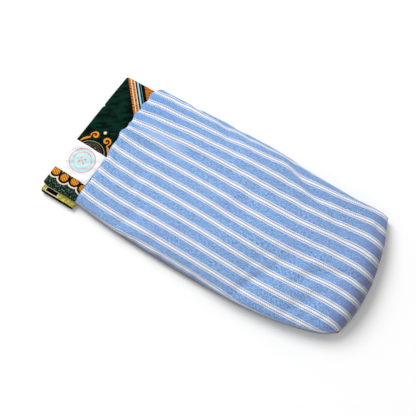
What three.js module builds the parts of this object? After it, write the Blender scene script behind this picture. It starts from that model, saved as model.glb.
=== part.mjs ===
// A soft pouch glasses case with a snap mouth, lying on its back panel. Millimetres, +Z up.
// +X runs from the mouth to the closed bottom, and +Y is to the right of the mouth.
// Two striped panels, two layers of wadding and two lining panels make the pouch. A casing of
// folded cloth runs across the front of the mouth and another across its back, each with a
// sprung steel strip inside. Each casing is built as a centre section and two halves that
// hinge on it, because the strip buckles in the middle when the mouth is squeezed open.
import * as THREE from 'three';

// The pouch, seen from above.
const MOUTH_SEAM_X = -74.6;          // where the striped panels start
const PATCH_LENGTH = 174;
const PATCH_WIDTH = 92;

// The layers, from the outside in.
const GAP = 0.3;                     // clearance between neighbouring layers
const PANEL = 0.5;
const WADDING = 1.2;
const LINING = 0.4;
const SEAM_Z = 3.4;                  // height of the side seams above the table
const MOUTH_RISE = 6.9;              // front panel above the side seams, at the mouth
const CREST_RISE = 13.4;             // and at its highest, near the bottom
const CREST_AT = 0.76;
const FRONT_END = 0.87;              // from here to 1 the front panel turns down to the seam
const BACK_END = 0.95;
const CROWN = 2.6;                   // roundness of the front panel from side to side
const BACK_FLAT = 0.9;               // part of the width that lies flat on the table

const RIM = 0.8;                     // width of a layer's turned edge
const SEAM_THREAD_FROM = 1.2;        // seam thread, measured in from the seam
const ALLOWANCE_FROM = 1.9;          // seam allowance, measured in from the seam
const ALLOWANCE_TO = 6.2;
const ALLOWANCE_THICK = 1;
const SIDE_ALLOWANCE_END = 0.93;     // it stops short of the bottom allowance
const BOTTOM_STRIP_FROM = 0.09;
const WADDING_INSET = 6.8;
const LINING_INSET = 8;

// The casings across the mouth.
const CASING_OUTER_X = -94.8;
const CASING_INNER_X = -75.7;
const CASING_THICK = 3.9;
const CASING_WALL = 0.5;
const CASING_RADIUS = 1.7;
const CONTACT_Z = CASING_THICK + GAP / 2;
const FOLD_Y = 4;                    // the strips buckle along y = -FOLD_Y and y = +FOLD_Y
const FRONT_ENDS = { left: -44.2, right: 43.2 };
const BACK_ENDS = { left: -48.2, right: 42 };

// The sprung strips.
const STRIP_WIDTH = 15;
const STRIP_THICK = 0.25;
const STRIP_BOW = 0.5;               // height of the strip's curve across its width
const STRIP_SHORT = 3;               // the strip stops this far inside its casing
const WRAP_LENGTH = 7;
const WRAP_THICK = 0.3;
const WRAP_CLEARANCE = 0.25;

// The ribbon label on the left half of the front casing.
const LABEL_NEAR_Y = -33;
const LABEL_FAR_Y = -11;
const LABEL_THICK = 0.3;

const THREAD = 0.4;
const LENGTH_STEPS = 12;

const cloth = (color) => new THREE.MeshStandardMaterial({ color, roughness: 0.9, metalness: 0 });
const material = {
  stripes: cloth(0x8fa6cf),
  print: cloth(0x17261f),
  lining: cloth(0xe9e4d6),
  wadding: cloth(0xf4f2ec),
  label: cloth(0xf1eee8),
  thread: cloth(0xdad7cf),
  wrap: new THREE.MeshStandardMaterial({ color: 0x2c2c2e, roughness: 0.5, metalness: 0 }),
  steel: new THREE.MeshStandardMaterial({ color: 0xb9bcc0, roughness: 0.3, metalness: 1 }),
};

const curve = (points) => new THREE.SplineCurve(points.map(([x, y]) => new THREE.Vector2(x, y)));
const lerp = THREE.MathUtils.lerp;

function addPart(parent, name, geometry, finish) {
  const mesh = new THREE.Mesh(geometry, finish);
  mesh.name = name;
  parent.add(mesh);
  return mesh;
}

// ---- the outline, as a patch between four edges ----

const nearEdge = curve([[MOUTH_SEAM_X, -44.5], [-40, -47.4], [0, -48.4], [32, -47.6],
  [54, -45.2], [72, -42.2], [86, -36.6], [94.6, -31]]);
const farEdge = curve([[MOUTH_SEAM_X, 43.6], [-66, 45.8], [-20, 47.8], [8, 47.7], [34, 45.5],
  [64, 44.2], [89, 44]]);
const bottomEdge = curve([[94.6, -31], [98.4, -22], [99.4, -9], [98.4, 6], [95, 26], [89, 44]]);
const mouthEdge = curve([[MOUTH_SEAM_X, -44.5], [MOUTH_SEAM_X, 43.6]]);

// u runs from the mouth to the bottom and v from the near side to the far side.
function patch(u, v) {
  const near = nearEdge.getPointAt(u);
  const far = farEdge.getPointAt(u);
  const mouth = mouthEdge.getPointAt(v);
  const bottom = bottomEdge.getPointAt(v);
  const corner = (edge, t) => edge.getPointAt(t);
  const bilinear = (axis) => lerp(
    lerp(corner(mouthEdge, 0)[axis], corner(mouthEdge, 1)[axis], v),
    lerp(corner(bottomEdge, 0)[axis], corner(bottomEdge, 1)[axis], v), u);
  const coordinate = (axis) => lerp(near[axis], far[axis], v) + lerp(mouth[axis], bottom[axis], u)
    - bilinear(axis);
  return [coordinate('x'), coordinate('y')];
}

function insetPatch(u, v, inset) {
  const side = inset / PATCH_WIDTH;
  return patch(u * (1 - inset / PATCH_LENGTH), lerp(side, 1 - side, v));
}

// ---- the surfaces of the layers ----

const roundOff = (t, power) => (1 - Math.max(0, t) ** power) ** (1 / power);

function frontSurface(depth, inset) {
  return (u, v) => {
    const [x, y] = insetPatch(u, v, inset);
    const swell = THREE.MathUtils.smoothstep(u, 0, CREST_AT);
    const rise = lerp(MOUTH_RISE, CREST_RISE, swell) - depth;
    const end = roundOff((u - FRONT_END) / (1 - FRONT_END), 2);
    const crown = roundOff(Math.abs(2 * v - 1), CROWN);
    return [x, y, SEAM_Z + GAP / 2 + rise * end * crown];
  };
}

function backSurface(depth, inset) {
  return (u, v) => {
    const [x, y] = insetPatch(u, v, inset);
    const drop = SEAM_Z - GAP / 2 - depth;
    const end = roundOff((u - BACK_END) / (1 - BACK_END), 2);
    const side = roundOff((Math.abs(2 * v - 1) - BACK_FLAT) / (1 - BACK_FLAT), 2);
    return [x, y, SEAM_Z - GAP / 2 - drop * end * side];
  };
}

// A closed layer between two surfaces over the same grid. Faces up, or down when it is flipped.
function layer(outside, inside, us, vs, flipped = false) {
  const positions = [];
  for (const surface of [outside, inside]) {
    for (const u of us) {
      for (const v of vs) positions.push(...surface(u, v));
    }
  }
  const at = (side, i, j) => (side * us.length + i) * vs.length + j;
  const index = [];
  const quad = (a, b, c, d) => {
    if (flipped) index.push(a, c, b, a, d, c);
    else index.push(a, b, c, a, c, d);
  };
  const lastU = us.length - 1;
  const lastV = vs.length - 1;
  for (let i = 0; i < lastU; i += 1) {
    for (let j = 0; j < lastV; j += 1) {
      quad(at(0, i, j), at(0, i + 1, j), at(0, i + 1, j + 1), at(0, i, j + 1));
      quad(at(1, i, j), at(1, i, j + 1), at(1, i + 1, j + 1), at(1, i + 1, j));
    }
  }
  const border = [];
  for (let i = 0; i < lastU; i += 1) border.push([i, 0]);
  for (let j = 0; j < lastV; j += 1) border.push([lastU, j]);
  for (let i = lastU; i > 0; i -= 1) border.push([i, lastV]);
  for (let j = lastV; j > 0; j -= 1) border.push([0, j]);
  border.forEach(([i, j], k) => {
    const [m, n] = border[(k + 1) % border.length];
    quad(at(1, i, j), at(1, m, n), at(0, m, n), at(0, i, j));
  });
  const geometry = new THREE.BufferGeometry();
  geometry.setAttribute('position', new THREE.Float32BufferAttribute(positions, 3));
  geometry.setIndex(index);
  geometry.computeVertexNormals();
  return geometry;
}

// Grid lines: even along the open part, and closer together where the cloth turns to a seam.
// Every layer shares the even ones, so that neighbouring layers keep their clearance.
function linesToSeam(bend, straightSteps, bendSteps) {
  const lines = [];
  for (let i = 0; i < straightSteps; i += 1) lines.push(bend * i / straightSteps);
  for (let i = 0; i <= bendSteps; i += 1) {
    lines.push(bend + (1 - bend) * Math.sin(Math.PI / 2 * i / bendSteps));
  }
  return lines;
}

const acrossCrown = (steps) => Array.from({ length: steps + 1 },
  (_, j) => (1 - Math.cos(Math.PI * j / steps)) / 2);

function acrossFlat(bendSteps) {
  const far = linesToSeam(BACK_FLAT, 4, bendSteps).slice(1).map((s) => (1 + s) / 2);
  return [...far.map((v) => 1 - v).reverse(), 0.5, ...far];
}

function frontLayer(depth, thick, inset, acrossSteps) {
  return layer(frontSurface(depth, inset), frontSurface(depth + thick, inset + RIM),
    linesToSeam(FRONT_END, LENGTH_STEPS, 4), acrossCrown(acrossSteps));
}

function backLayer(depth, thick, inset) {
  return layer(backSurface(depth, inset), backSurface(depth + thick, inset + RIM),
    linesToSeam(BACK_END, LENGTH_STEPS, 4), acrossFlat(4), true);
}

// ---- the pouch ----

const evenSteps = (count) => Array.from({ length: count + 1 }, (_, i) => i / count);

// A flat strip at the height of the seam, along one side of the pouch.
function stripAlongSide(edgeSide, from, to, thick) {
  const face = (z) => (u, v) => {
    const inward = lerp(from, to, edgeSide < 0 ? v : 1 - v) / PATCH_WIDTH;
    return [...patch(u * SIDE_ALLOWANCE_END, edgeSide < 0 ? inward : 1 - inward), z];
  };
  return layer(face(SEAM_Z + thick / 2), face(SEAM_Z - thick / 2), evenSteps(LENGTH_STEPS), [0, 1]);
}

// The same along the bottom, between the two side strips.
function stripAlongBottom(from, to, thick) {
  const face = (z) => (u, v) => {
    const inward = lerp(to, from, u) / PATCH_LENGTH;
    return [...patch(1 - inward, lerp(BOTTOM_STRIP_FROM, 1 - BOTTOM_STRIP_FROM, v)), z];
  };
  return layer(face(SEAM_Z + thick / 2), face(SEAM_Z - thick / 2), [0, 1], evenSteps(8));
}

function buildPouch(parent) {
  const waddingDepth = PANEL + GAP;
  const liningDepth = waddingDepth + WADDING + GAP;
  addPart(parent, 'outer_front_panel', frontLayer(0, PANEL, 0, 18), material.stripes);
  addPart(parent, 'outer_back_panel', backLayer(0, PANEL, 0), material.stripes);
  addPart(parent, 'front_wadding', frontLayer(waddingDepth, WADDING, WADDING_INSET, 14),
    material.wadding);
  addPart(parent, 'back_wadding', backLayer(waddingDepth, WADDING, WADDING_INSET),
    material.wadding);
  addPart(parent, 'front_lining', frontLayer(liningDepth, LINING, LINING_INSET, 14),
    material.lining);
  addPart(parent, 'back_lining', backLayer(liningDepth, LINING, LINING_INSET), material.lining);
  const allowance = [ALLOWANCE_FROM, ALLOWANCE_TO, ALLOWANCE_THICK];
  addPart(parent, 'left_seam_allowance', stripAlongSide(-1, ...allowance), material.stripes);
  addPart(parent, 'right_seam_allowance', stripAlongSide(1, ...allowance), material.stripes);
  addPart(parent, 'bottom_seam_allowance', stripAlongBottom(...allowance), material.stripes);
  const thread = [SEAM_THREAD_FROM, SEAM_THREAD_FROM + THREAD, THREAD];
  addPart(parent, 'left_seam_thread', stripAlongSide(-1, ...thread), material.thread);
  addPart(parent, 'right_seam_thread', stripAlongSide(1, ...thread), material.thread);
  addPart(parent, 'bottom_seam_thread', stripAlongBottom(...thread), material.thread);
}

// ---- the casings and their strips ----

// A section drawn in x and z, run along y from one end to the other.
function alongY(shape, from, to) {
  const low = Math.min(from, to);
  const geometry = new THREE.ExtrudeGeometry(shape, {
    depth: Math.abs(to - from), bevelEnabled: false, curveSegments: 4,
  });
  geometry.rotateX(Math.PI / 2);
  return geometry.translate(0, low + Math.abs(to - from), 0);
}

function roundedOutline(path, x0, x1, z0, z1, radius) {
  path.moveTo(x0 + radius, z0);
  path.lineTo(x1 - radius, z0);
  path.absarc(x1 - radius, z0 + radius, radius, -Math.PI / 2, 0);
  path.absarc(x1 - radius, z1 - radius, radius, 0, Math.PI / 2);
  path.absarc(x0 + radius, z1 - radius, radius, Math.PI / 2, Math.PI);
  path.absarc(x0 + radius, z0 + radius, radius, Math.PI, Math.PI * 1.5);
  return path;
}

function casingShape(bottomZ) {
  const topZ = bottomZ + CASING_THICK;
  const shape = roundedOutline(new THREE.Shape(), CASING_OUTER_X, CASING_INNER_X, bottomZ, topZ,
    CASING_RADIUS);
  shape.holes.push(roundedOutline(new THREE.Path(), CASING_OUTER_X + CASING_WALL,
    CASING_INNER_X - CASING_WALL, bottomZ + CASING_WALL, topZ - CASING_WALL,
    CASING_RADIUS - CASING_WALL));
  return shape;
}

// The strip's shallow arc across its width, grown by a margin on every side.
function stripOutline(path, bottomZ, margin) {
  const centreX = (CASING_OUTER_X + CASING_INNER_X) / 2;
  const half = STRIP_WIDTH / 2 + margin;
  const middleZ = bottomZ + CASING_THICK / 2 - STRIP_BOW / 2;
  const reach = STRIP_THICK / 2 + margin;
  const steps = 6;
  const arc = (k) => STRIP_BOW * (1 - (2 * k / steps - 1) ** 2);
  for (let k = 0; k <= steps; k += 1) {
    const x = centreX - half + 2 * half * k / steps;
    if (k === 0) path.moveTo(x, middleZ + arc(k) - reach);
    else path.lineTo(x, middleZ + arc(k) - reach);
  }
  for (let k = steps; k >= 0; k -= 1) {
    path.lineTo(centreX - half + 2 * half * k / steps, middleZ + arc(k) + reach);
  }
  path.closePath();
  return path;
}

function wrapShape(bottomZ) {
  const shape = stripOutline(new THREE.Shape(), bottomZ, WRAP_CLEARANCE + WRAP_THICK);
  shape.holes.push(stripOutline(new THREE.Path(), bottomZ, WRAP_CLEARANCE));
  return shape;
}

// The thread of the seam between a casing and its panel lies in the ditch between them.
function seamThreadShape(bottomZ) {
  const middleX = (CASING_INNER_X + MOUTH_SEAM_X) / 2;
  const middleZ = bottomZ + CASING_THICK / 2;
  const half = THREAD / 2;
  return roundedOutline(new THREE.Shape(), middleX - half, middleX + half, middleZ - half,
    middleZ + half, half * 0.6);
}

// One section of a casing from y = from to y = to, in a frame whose z = 0 is the contact plane.
function addCasingSection(parent, side, section, bottomZ, from, to, stripTo) {
  addPart(parent, `${side}_casing_${section}`, alongY(casingShape(bottomZ), from, to),
    material.print);
  addPart(parent, `${side}_strip_${section}`,
    alongY(stripOutline(new THREE.Shape(), bottomZ, 0), from, stripTo), material.steel);
  addPart(parent, `${side}_casing_${section}_seam_thread`,
    alongY(seamThreadShape(bottomZ), from, to), material.thread);
}

// A folding half, built outward from its hinge line at y = 0 in its own frame.
function addCasingHalf(parent, side, section, bottomZ, endY) {
  const outward = Math.sign(endY);
  const half = new THREE.Group();
  half.position.set(0, outward * FOLD_Y, CONTACT_Z);
  const start = outward * GAP / 2;
  const end = endY - outward * FOLD_Y;
  const stripEnd = end - outward * STRIP_SHORT;
  addCasingSection(half, side, section, bottomZ, start, end, stripEnd);
  addPart(half, `${side}_strip_${section}_end_wrap`,
    alongY(wrapShape(bottomZ), stripEnd - outward * WRAP_LENGTH, stripEnd + outward * GAP),
    material.wrap);
  parent.add(half);
  return half;
}

function addCasing(parent, side, bottomZ, ends) {
  const centre = new THREE.Group();
  centre.position.z = CONTACT_Z;
  const reach = FOLD_Y - GAP / 2;
  addCasingSection(centre, side, 'centre', bottomZ, -reach, reach, reach);
  parent.add(centre);
  const left = addCasingHalf(parent, side, 'left', bottomZ, ends.left);
  addCasingHalf(parent, side, 'right', bottomZ, ends.right);
  return left;
}

// ---- the label ----

// A strip of ribbon over the casing's top, turned down over the mouth edge.
function labelShape(bottomZ) {
  const innerX = CASING_INNER_X - 1;
  const outerX = CASING_OUTER_X - GAP - LABEL_THICK;
  const topZ = bottomZ + CASING_THICK + GAP;
  const shape = new THREE.Shape();
  shape.moveTo(innerX, topZ);
  shape.lineTo(innerX, topZ + LABEL_THICK);
  shape.lineTo(outerX + CASING_RADIUS, topZ + LABEL_THICK);
  shape.absarc(outerX + CASING_RADIUS, topZ + LABEL_THICK - CASING_RADIUS, CASING_RADIUS,
    Math.PI / 2, Math.PI);
  shape.lineTo(outerX, bottomZ);
  shape.lineTo(outerX + LABEL_THICK, bottomZ);
  shape.absarc(outerX + CASING_RADIUS, topZ + LABEL_THICK - CASING_RADIUS,
    CASING_RADIUS - LABEL_THICK, Math.PI, Math.PI / 2, true);
  return shape;
}

function addLabel(half, bottomZ) {
  const from = LABEL_NEAR_Y + FOLD_Y;
  const to = LABEL_FAR_Y + FOLD_Y;
  addPart(half, 'ribbon_label', alongY(labelShape(bottomZ), from, to), material.label);
  const threadZ = bottomZ + CASING_THICK + 2 * GAP + LABEL_THICK;
  const threadX = CASING_INNER_X - 2;
  const section = roundedOutline(new THREE.Shape(), threadX - THREAD / 2, threadX + THREAD / 2,
    threadZ, threadZ + THREAD / 2, THREAD * 0.2);
  addPart(half, 'ribbon_label_thread', alongY(section, from + 0.5, to - 0.5), material.thread);
}

// ---- the whole case ----

const group = new THREE.Group();
buildPouch(group);
addCasing(group, 'back', -GAP / 2 - CASING_THICK, BACK_ENDS);
const frontLeft = addCasing(group, 'front', GAP / 2, FRONT_ENDS);
addLabel(frontLeft, GAP / 2);

// The origin is the middle of the case's footprint, on the table.
group.updateMatrixWorld(true);
const box = new THREE.Box3().setFromObject(group, true);
const centre = box.getCenter(new THREE.Vector3());
group.position.set(-centre.x, -centre.y, -box.min.z);

export default group;
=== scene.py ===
import math

import bpy
import numpy as np
from mathutils import Matrix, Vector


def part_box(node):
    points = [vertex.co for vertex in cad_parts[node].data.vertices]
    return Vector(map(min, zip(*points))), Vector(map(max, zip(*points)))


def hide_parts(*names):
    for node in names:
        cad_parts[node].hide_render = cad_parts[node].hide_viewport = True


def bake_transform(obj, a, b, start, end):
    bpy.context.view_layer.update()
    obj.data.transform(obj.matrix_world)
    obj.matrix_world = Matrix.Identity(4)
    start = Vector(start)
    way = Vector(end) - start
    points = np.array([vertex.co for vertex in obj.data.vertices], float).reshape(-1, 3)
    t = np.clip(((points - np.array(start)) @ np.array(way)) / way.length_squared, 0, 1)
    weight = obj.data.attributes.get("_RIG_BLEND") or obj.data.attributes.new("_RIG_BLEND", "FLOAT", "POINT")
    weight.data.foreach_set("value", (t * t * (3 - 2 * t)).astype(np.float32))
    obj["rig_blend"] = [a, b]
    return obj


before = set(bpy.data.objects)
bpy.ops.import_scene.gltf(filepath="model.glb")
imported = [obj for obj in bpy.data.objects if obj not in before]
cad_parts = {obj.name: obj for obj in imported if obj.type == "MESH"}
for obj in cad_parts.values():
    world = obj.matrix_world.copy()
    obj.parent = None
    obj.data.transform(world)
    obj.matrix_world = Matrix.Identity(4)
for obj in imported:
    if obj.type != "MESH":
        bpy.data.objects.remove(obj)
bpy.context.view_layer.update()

MM = 0.001
TAU = 2 * math.pi


def box_mm(node):
    low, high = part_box(node)
    return np.array(low) / MM, np.array(high) / MM


# ---- places, in millimetres

PANEL_LOW, PANEL_HIGH = box_mm("outer_front_panel")
CASING_LOW, CASING_HIGH = box_mm("front_casing_left")
FRONT_RIGHT_HIGH = box_mm("front_casing_right")[1]
BACK_LOW = box_mm("back_casing_left")[0]
BACK_RIGHT_HIGH = box_mm("back_casing_right")[1]
CENTRE_LOW, CENTRE_HIGH = box_mm("front_casing_centre")
LABEL_LOW, LABEL_HIGH = box_mm("ribbon_label")

MOUTH_X = PANEL_LOW[0]  # where the striped cloth starts
MOUTH_EDGE_X = CASING_LOW[0]  # the open edge of the mouth
MIDDLE_Y = (CENTRE_LOW[1] + CENTRE_HIGH[1]) / 2
CASING_THICK = CASING_HIGH[2] - CASING_LOW[2]
SEAM_Z = 3.4
FOLD_REACH = 4.0  # the strips buckle this far either side of the middle
LENGTH = PANEL_HIGH[0] - PANEL_LOW[0]
WIDTH = 92.0  # the pouch's mean width
SEAMS = ("left", "right", "bottom")
CASING_PARTS = ("left", "centre", "right")

OUTLINE_SHIFT = np.array([MOUTH_X + 74.6, MIDDLE_Y])
NEAR_EDGE = [(-74.6, -44.5), (-40, -47.2), (0, -47.8), (32, -46.9), (54, -44.7), (72, -41.2),
             (86, -36.8), (95.2, -31.0)]
FAR_EDGE = [(-74.6, 44.4), (-70.5, 47.3), (-64, 47.7), (-44, 47.9), (-20, 47.8), (8, 47.2),
            (34, 45.2), (64, 44.0), (89.7, 44.2)]
BOTTOM_EDGE = [(95.2, -31.0), (97.9, -21), (99.2, -9), (98.4, 6), (95.2, 26), (89.7, 44.2)]
MOUTH_LINE = [(-74.6, -44.5), (-74.6, 44.4)]


# ---- small helpers

def smooth(x, low, high):
    t = np.clip((x - low) / (high - low), 0, 1)
    return t * t * (3 - 2 * t)


def bump(x, centre, width):
    return np.exp(-((x - centre) / width) ** 2)


def round_off(t, power):
    return (1 - np.clip(t, 0, 1) ** power) ** (1 / power)


def xyz(x, y, z):
    return np.stack([x, y, z], axis=-1)


def grid(down, across):
    """Two grids, which hold the first numbers row by row and the second column by column."""
    return np.meshgrid(down, across, indexing="ij")


def unit(vectors):
    return vectors / np.maximum(np.linalg.norm(vectors, axis=-1, keepdims=True), 1e-9)


def distance_along(path):
    steps = np.linalg.norm(np.diff(path, axis=0), axis=1)
    return np.concatenate([[0], np.cumsum(steps)])


def spline(points, count=600):
    """A Catmull-Rom curve through the points, as (distance along it from 0 to 1, places)."""
    p = np.array(points, float) + OUTLINE_SHIFT
    spans = len(p) - 1
    t = np.linspace(0, spans, count)
    i = np.minimum(t.astype(int), spans - 1)
    f = (t - i)[:, None]
    p1, p2 = p[i], p[i + 1]
    p0 = np.where((i > 0)[:, None], p[i - 1], p1)
    p3 = np.where((i < spans - 1)[:, None], p[np.minimum(i + 2, spans)], p2)
    v0, v1 = (p2 - p0) / 2, (p3 - p1) / 2
    curve = ((2 * p1 - 2 * p2 + v0 + v1) * f ** 3 + (-3 * p1 + 3 * p2 - 2 * v0 - v1) * f ** 2
             + v0 * f + p1)
    run = distance_along(curve)
    return run / run[-1], curve


NEAR, FAR, BOTTOM, MOUTH = (spline(e) for e in (NEAR_EDGE, FAR_EDGE, BOTTOM_EDGE, MOUTH_LINE))


def on_edge(edge, t):
    run, curve = edge
    return np.stack([np.interp(t, run, curve[:, k]) for k in (0, 1)], axis=-1)


def patch(u, v):
    """Plan position at u, from the mouth to the bottom, and v, from the near to the far side."""
    u, v = np.broadcast_arrays(np.asarray(u, float), np.asarray(v, float))
    uu, vv = u[..., None], v[..., None]
    sides = on_edge(NEAR, u) * (1 - vv) + on_edge(FAR, u) * vv
    ends = on_edge(MOUTH, v) * (1 - uu) + on_edge(BOTTOM, v) * uu
    corners = ((on_edge(MOUTH, 0.0) * (1 - vv) + on_edge(MOUTH, 1.0) * vv) * (1 - uu)
               + (on_edge(BOTTOM, 0.0) * (1 - vv) + on_edge(BOTTOM, 1.0) * vv) * uu)
    return sides + ends - corners


def new_object(name, vertices, faces, cloth=None, material=None):
    """A mesh from millimetres. cloth is each vertex's place on the flat cloth."""
    mesh = bpy.data.meshes.new(name)
    mesh.from_pydata((np.asarray(vertices) * MM).tolist(), [], faces)
    if cloth is not None:
        attribute = mesh.attributes.new("cloth", "FLOAT_VECTOR", "POINT")
        attribute.data.foreach_set("vector", np.asarray(cloth, np.float32).ravel())
    mesh.validate()
    mesh.shade_smooth()
    obj = bpy.data.objects.new(name, mesh)
    bpy.context.scene.collection.objects.link(obj)
    if material:
        mesh.materials.append(material)
    return obj


def grid_faces(rows, columns, start=0, flip=False, loop=False):
    """Quads over rows x columns points. loop joins each row's last point to its first."""
    faces = []
    for i in range(rows - 1):
        for j in range(columns if loop else columns - 1):
            k = (j + 1) % columns
            quad = (start + i * columns + j, start + (i + 1) * columns + j,
                    start + (i + 1) * columns + k, start + i * columns + k)
            faces.append(quad[::-1] if flip else quad)
    return faces


def two_walls(name, walls, faces, cloth, material):
    """A mesh from two grids of points, which both lie at the same place on the flat cloth."""
    vertices, places = (np.concatenate([grid.reshape(-1, 3) for grid in pair])
                        for pair in (walls, (cloth, cloth)))
    return new_object(name, vertices, faces, places, material)


def thick_sheet(name, outer, inner, cloth, material, facing_down=False):
    """A closed sheet between two grids of points of the same shape."""
    rows, columns = outer.shape[:2]
    count = rows * columns
    faces = grid_faces(rows, columns, 0, facing_down)
    faces += grid_faces(rows, columns, count, not facing_down)
    border = ([(i, 0) for i in range(rows - 1)] + [(rows - 1, j) for j in range(columns - 1)]
              + [(i, columns - 1) for i in range(rows - 1, 0, -1)]
              + [(0, j) for j in range(columns - 1, 0, -1)])
    ring = [i * columns + j for i, j in border]
    for a, b in zip(ring, ring[1:] + ring[:1]):
        quad = (a + count, b + count, b, a)
        faces.append(quad[::-1] if facing_down else quad)
    return two_walls(name, (outer, inner), faces, cloth, material)


# ---- how the mouth opens

SETTLED_X = MOUTH_X + 125.0  # past here the pouch does not move
FULL_LIFT, FULL_TURN = 38.0, 26.75  # the mouth's travel, and how far the halves turn with it
HALF_MOUTH = 39.7  # from a fold to the end of the mouth
STRIP_SLOPE = math.tan(math.radians(FULL_TURN)) / FULL_LIFT
STRIP_REACH = 33.0  # from a fold, the strip is straight up to here
STRIP_SHIFT = 0.5  # the strips turn about an axis outside their own plane
FOLD_SOFT = 2.0  # the cloth rounds the fold over this length


def mouth_share(y):
    """How far below the front's lift a point hangs: 0 in the mouth's middle, 0.5 at its ends."""
    d = np.abs(y - MIDDLE_Y) - FOLD_REACH - STRIP_SHIFT
    rounded = (np.clip(d, -FOLD_SOFT, FOLD_SOFT) + FOLD_SOFT) ** 2 / (4 * FOLD_SOFT)
    d = np.where(d < FOLD_SOFT, rounded, d)
    inner = STRIP_SLOPE * d
    at_reach = STRIP_SLOPE * STRIP_REACH
    t = np.clip((d - STRIP_REACH) / (HALF_MOUTH - STRIP_REACH), 0, 1)
    outer = at_reach + (0.5 - at_reach) * (1 - (1 - t) ** 1.6)
    return np.where(d < STRIP_REACH, inner, np.minimum(outer, 0.5))


def follow_mouth(obj, side):
    """obj's points rise with the front of the mouth, by a share that fades towards the bottom."""
    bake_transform(obj, "pouch", "front_middle", start=(SETTLED_X * MM, 0, 0), end=(MOUTH_X * MM, 0, 0))
    co = np.zeros(len(obj.data.vertices) * 3)
    obj.data.vertices.foreach_get("co", co)
    co = co.reshape(-1, 3) / MM
    share = mouth_share(co[:, 1])
    lift = {"front": 1 - share, "back": share, "seam": 0.5}[side]
    fade = 1 - smooth(co[:, 0], MOUTH_X - 1, SETTLED_X)
    attribute = obj.data.attributes["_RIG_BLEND"]
    attribute.data.foreach_set("value", (lift * fade).astype(np.float32))
    return obj


# ---- node materials

class Value:
    """A number in a node tree, so that a pattern can be written as arithmetic."""

    def __init__(self, paint, socket):
        self.paint = paint
        self.socket = socket

    def _math(self, operation, *others):
        node = self.paint.node("Math", enumerate((self, *others)), operation=operation)
        return Value(self.paint, node.outputs[0])

    def __add__(self, other): return self._math("ADD", other)
    def __sub__(self, other): return self._math("SUBTRACT", other)
    def __rsub__(self, other): return (self * -1)._math("ADD", other)
    def __mul__(self, other): return self._math("MULTIPLY", other)
    def __truediv__(self, other): return self._math("DIVIDE", other)
    def abs(self): return self._math("ABSOLUTE")
    def sin(self): return self._math("SINE")
    def cos(self): return self._math("COSINE")
    def sqrt(self): return self._math("SQRT")
    def angle(self, other): return self._math("ARCTAN2", other)
    def least(self, other): return self._math("MINIMUM", other)
    def most(self, other): return self._math("MAXIMUM", other)
    def wrap(self, low, high): return self._math("WRAP", high, low)

    def ramp(self, low, high):
        """0 below low, 1 above high, and smooth in between."""
        node = self.paint.node("MapRange", {"Value": self, "From Min": low, "From Max": high},
                               interpolation_type="SMOOTHSTEP")
        return Value(self.paint, node.outputs[0])

    def below(self, edge, soft=0.12):
        """1 where the number is under the edge."""
        return 1 - self.ramp(edge - soft, edge + soft)

    def between(self, low, high, soft=0.12):
        return self.ramp(low - soft, low + soft) * self.below(high, soft)


class Paint:
    """A Principled material that is being built. x and y are the place on the flat cloth, in mm."""

    def __init__(self, name, roughness, metallic=0.0):
        self.material = bpy.data.materials.new(name)
        self.material.use_nodes = True
        self.tree = self.material.node_tree
        self.shader = self.tree.nodes["Principled BSDF"]
        self.shader.inputs["Roughness"].default_value = roughness
        self.shader.inputs["Metallic"].default_value = metallic

    def feed(self, place, item):
        if isinstance(item, str):
            item = colour(item)
        if isinstance(item, Value):
            item = item.socket
        if isinstance(item, bpy.types.NodeSocket):
            self.tree.links.new(item, place)
        else:
            place.default_value = item

    def node(self, kind, inputs=(), **settings):
        """A new node. inputs gives what goes into each input, by its number or name."""
        node = self.tree.nodes.new("ShaderNode" + kind)
        for name, setting in settings.items():
            setattr(node, name, setting)
        for name, item in dict(inputs).items():
            self.feed(node.inputs[name], item)
        return node

    def split(self, socket):
        return [Value(self, output) for output in self.node("SeparateXYZ", {0: socket}).outputs]

    def cloth(self):
        return self.split(self.node("Attribute", attribute_name="cloth").outputs["Vector"])

    def place(self):
        """The point of the solid itself, in mm."""
        return [value * (1 / MM) for value in self.split(self.node("TexCoord").outputs["Object"])]

    def noise(self, x, y, z=0.0, detail=2.0, roughness=0.5):
        """Noise from 0 to 1 whose grains are one unit of x and y across."""
        join = self.node("CombineXYZ", enumerate((x, y, z)))
        node = self.node("TexNoise", {"Scale": 1.0, "Detail": detail, "Roughness": roughness,
                                      "Vector": join.outputs[0]})
        return Value(self, node.outputs[0])

    def mix(self, share, low, high, blend="MIX"):
        node = self.node("Mix", data_type="RGBA", blend_type=blend)
        for place, item in ((0, share), (6, low), (7, high)):
            self.feed(node.inputs[place], item)
        return node.outputs[2]

    def shade(self, base, amount):
        """base made lighter or darker: amount is 1 where it stays."""
        join = self.node("CombineColor", enumerate([amount] * 3))
        return self.mix(1.0, base, join.outputs[0], "MULTIPLY")

    def finish(self, base, height=None, distance=0.1, strength=1.0, roughness=None):
        """base colour, and a height in units of distance mm for the bump."""
        self.feed(self.shader.inputs["Base Color"], base)
        if roughness is not None:
            self.feed(self.shader.inputs["Roughness"], roughness)
        if height is not None:
            bump_node = self.node("Bump", {"Strength": strength, "Distance": distance * MM,
                                           "Height": height})
            self.feed(self.shader.inputs["Normal"], bump_node.outputs[0])
        return self.material


def colour(text):
    """A linear colour from an sRGB one written as six hex digits."""
    parts = [int(text[k:k + 2], 16) / 255 for k in (0, 2, 4)]
    return tuple(((c + 0.055) / 1.055) ** 2.4 if c > 0.04045 else c / 12.92 for c in parts) + (1.0,)


def cloth_finish(paint, sheen):
    paint.shader.inputs["Sheen Weight"].default_value = sheen
    paint.shader.inputs["Sheen Roughness"].default_value = 0.5
    paint.shader.inputs["Specular IOR Level"].default_value = 0.25


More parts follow.
